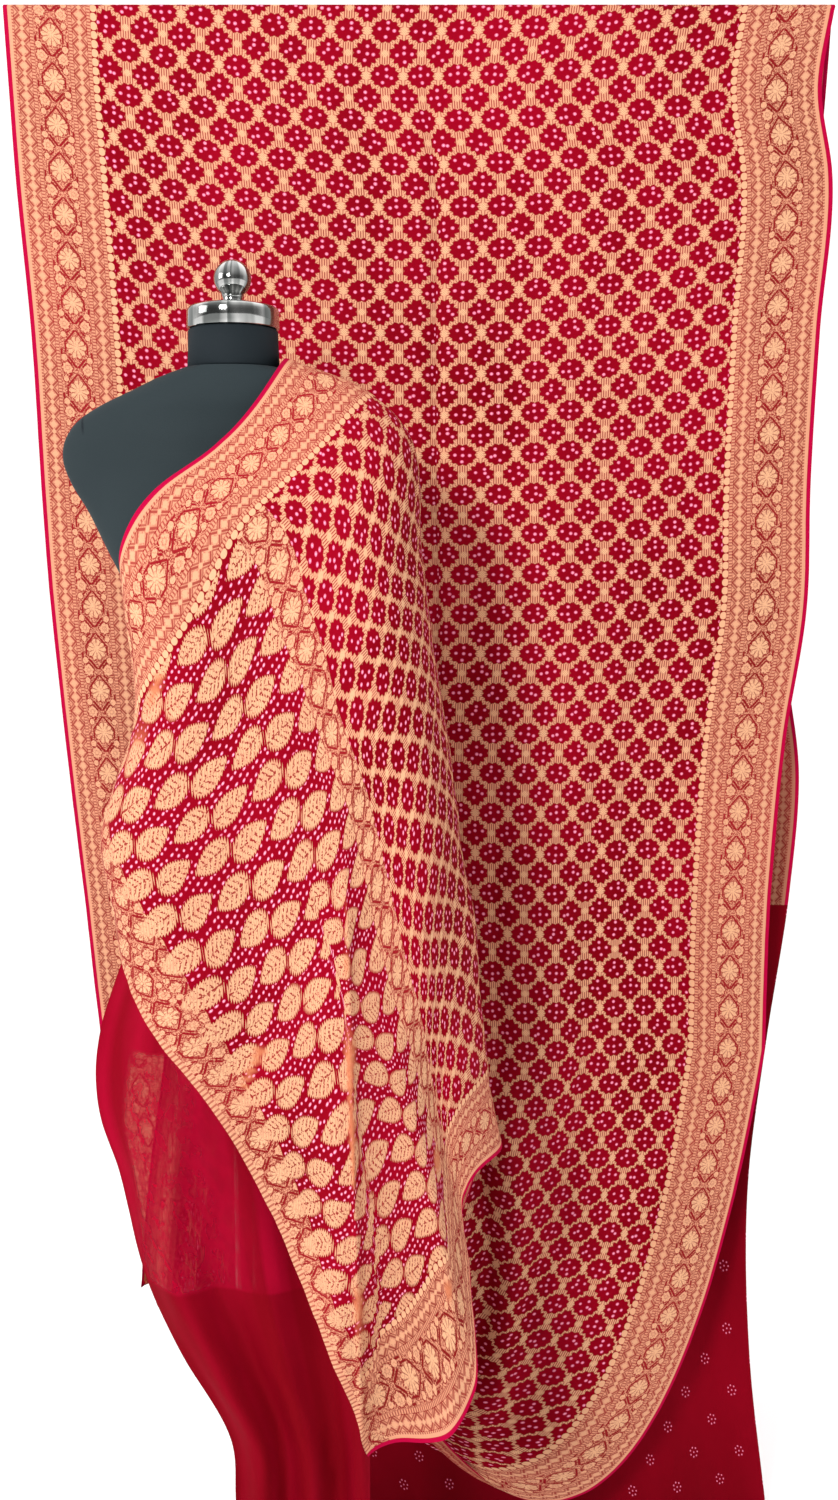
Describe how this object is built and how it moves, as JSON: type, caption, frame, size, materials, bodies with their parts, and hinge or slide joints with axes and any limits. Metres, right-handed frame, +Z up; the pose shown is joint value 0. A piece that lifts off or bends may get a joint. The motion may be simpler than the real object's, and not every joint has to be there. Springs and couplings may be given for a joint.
{
  "type": "bandhani sari cloth on a dress form",
  "caption": "Crimson tie-dyed and gold-brocaded sari length, hung from its top edge, looped and draped over the shoulder of a plain black dress form.",
  "frame": {"origin": "middle of the top edge, where the cloth folds over what holds it", "axes": "+Z up, -Y the shown side, +X to the right of someone who faces the shown side"},
  "size_m": [1.1238, 0.5324, 2.2208],
  "materials": {
    "bandhani_brocade": "crimson ground with matt gold brocade",
    "plain_crimson": "thin plain crimson cloth",
    "black_jersey": "matt black stretch cover",
    "chrome": "polished"
  },
  "bodies": {
    "root": {"sari_cloth": "bandhani_brocade", "plain_length": "plain_crimson", "form_torso": "black_jersey", "form_neck": "black_jersey", "neck_cap": "chrome", "finial_ball": "chrome", "stand_pole": "chrome", "pole_collar": "chrome", "stand_base": "chrome"}
  },
  "joints": []
}
